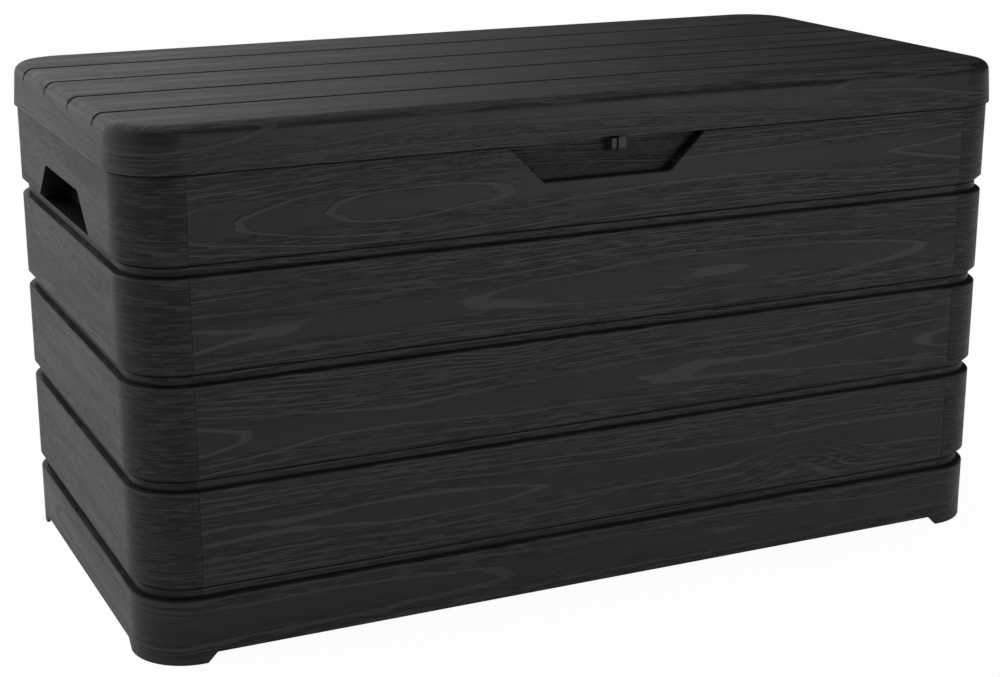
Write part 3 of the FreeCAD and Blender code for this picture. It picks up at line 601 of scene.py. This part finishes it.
bpy.ops.object.select_all(action="DESELECT")
bpy.ops.mesh.primitive_circle_add(
    vertices=HEAD_SIDES, radius=HEAD_RADIUS, fill_type="NGON", location=(0.0, 0.0, 0.0)
)
screw = bpy.context.object
bpy.ops.object.mode_set(mode="EDIT")
half_side = math.pi / HEAD_SIDES
bpy.ops.transform.rotate(value=half_side, orient_axis="Z", center_override=(0.0, 0.0, 0.0))
bpy.ops.transform.translate(value=(0.0, 0.0, -HEAD_HEIGHT))
raise_face(HEAD_HEIGHT * 0.4, 0.97)
raise_face(HEAD_HEIGHT * 0.4, 0.80)
raise_face(HEAD_HEIGHT * 0.2, 0.68)
bpy.ops.mesh.inset(thickness=0.0001)
bpy.ops.mesh.select_all(action="DESELECT")
bpy.ops.mesh.select_mode(type="VERT")
bpy.ops.object.mode_set(mode="OBJECT")
rim = max(spot.co.xy.length for spot in screw.data.vertices if spot.co.z > -HAIR)
for spot in screw.data.vertices:
    on_diagonal = abs(abs(spot.co.x) - abs(spot.co.y)) < rim * 0.1
    spot.select = spot.co.z > -HAIR and on_diagonal and spot.co.xy.length < rim - 0.00005
bpy.ops.object.mode_set(mode="EDIT")
waist = (CROSS_WAIST, CROSS_WAIST, 1.0)
bpy.ops.transform.resize(value=waist, center_override=(0.0, 0.0, 0.0))
bpy.ops.mesh.select_mode(type="FACE")
pick(screw.data, lambda middle, normal: middle.z > -HAIR and middle.xy.length < 1e-5 and normal.z > 0.9)
raise_face(-HEAD_HEIGHT * CROSS_DEPTH, CROSS_BOTTOM)
pick(screw.data, lambda middle, normal: middle.z < HAIR - HEAD_HEIGHT and normal.z < -0.9)
bpy.ops.mesh.inset(thickness=HEAD_RADIUS - SHANK_RADIUS)
raise_face(HEAD_HEIGHT + TIP_LENGTH - SCREW_LENGTH)
raise_face(-TIP_LENGTH, 0.4)
bpy.ops.mesh.select_all(action="SELECT")
bpy.ops.mesh.normals_make_consistent(inside=False)
bpy.ops.object.mode_set(mode="OBJECT")
bpy.ops.object.shade_smooth_by_angle(angle=math.radians(35))
screw.data.materials.append(plated_steel)

SIDES = (-1, 1)
LEAF_MIDDLES = (-0.38, 0.0, 0.38)
leaf_screws = [x + step for x in LEAF_MIDDLES for step in (-0.02825, 0.02825)]
arm_screws = [x + step for x in LEAF_MIDDLES for step in (-0.00875, 0.00875)]
base_seats = [((x, 0.2790 * side, 0.046), (0, side, 0)) for x in (-0.26, 0.26) for side in SIDES]
base_seats += [((0.5720 * side, y, 0.046), (side, 0, 0)) for y in (-0.1485, 0.1485) for side in SIDES]
# Each group: the body that it rides on, and for each screw the seat of its head and its aim.
SCREW_SEATS = {
    "base_screws": ("box", base_seats),
    "lock_eye_screws": ("box", [((0.0075, -0.2748, z), (0, -1, 0)) for z in (0.565, 0.574)]),
    "lock_tab_screws": ("lid", [((x, -0.2878, 0.5925), (0, -1, 0)) for x in (0.00825, 0.02775)]),
    "hinge_body_screws": ("box", [((x, 0.2778, 0.568), (0, 1, 0)) for x in leaf_screws]),
    "hinge_lid_screws": ("lid", [((x, 0.2883, 0.5925), (0, 1, 0)) for x in arm_screws]),
}
for group, (body, seats) in SCREW_SEATS.items():
    aims = [
        Matrix.Translation(seat) @ Vector(aim).to_track_quat("-Z", "Y").to_matrix().to_4x4()
        for seat, aim in seats
    ]
    screws = join_copies(screw, aims, "round_head_" + group)
    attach(screws, body)
    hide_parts(group)
bpy.data.objects.remove(screw)
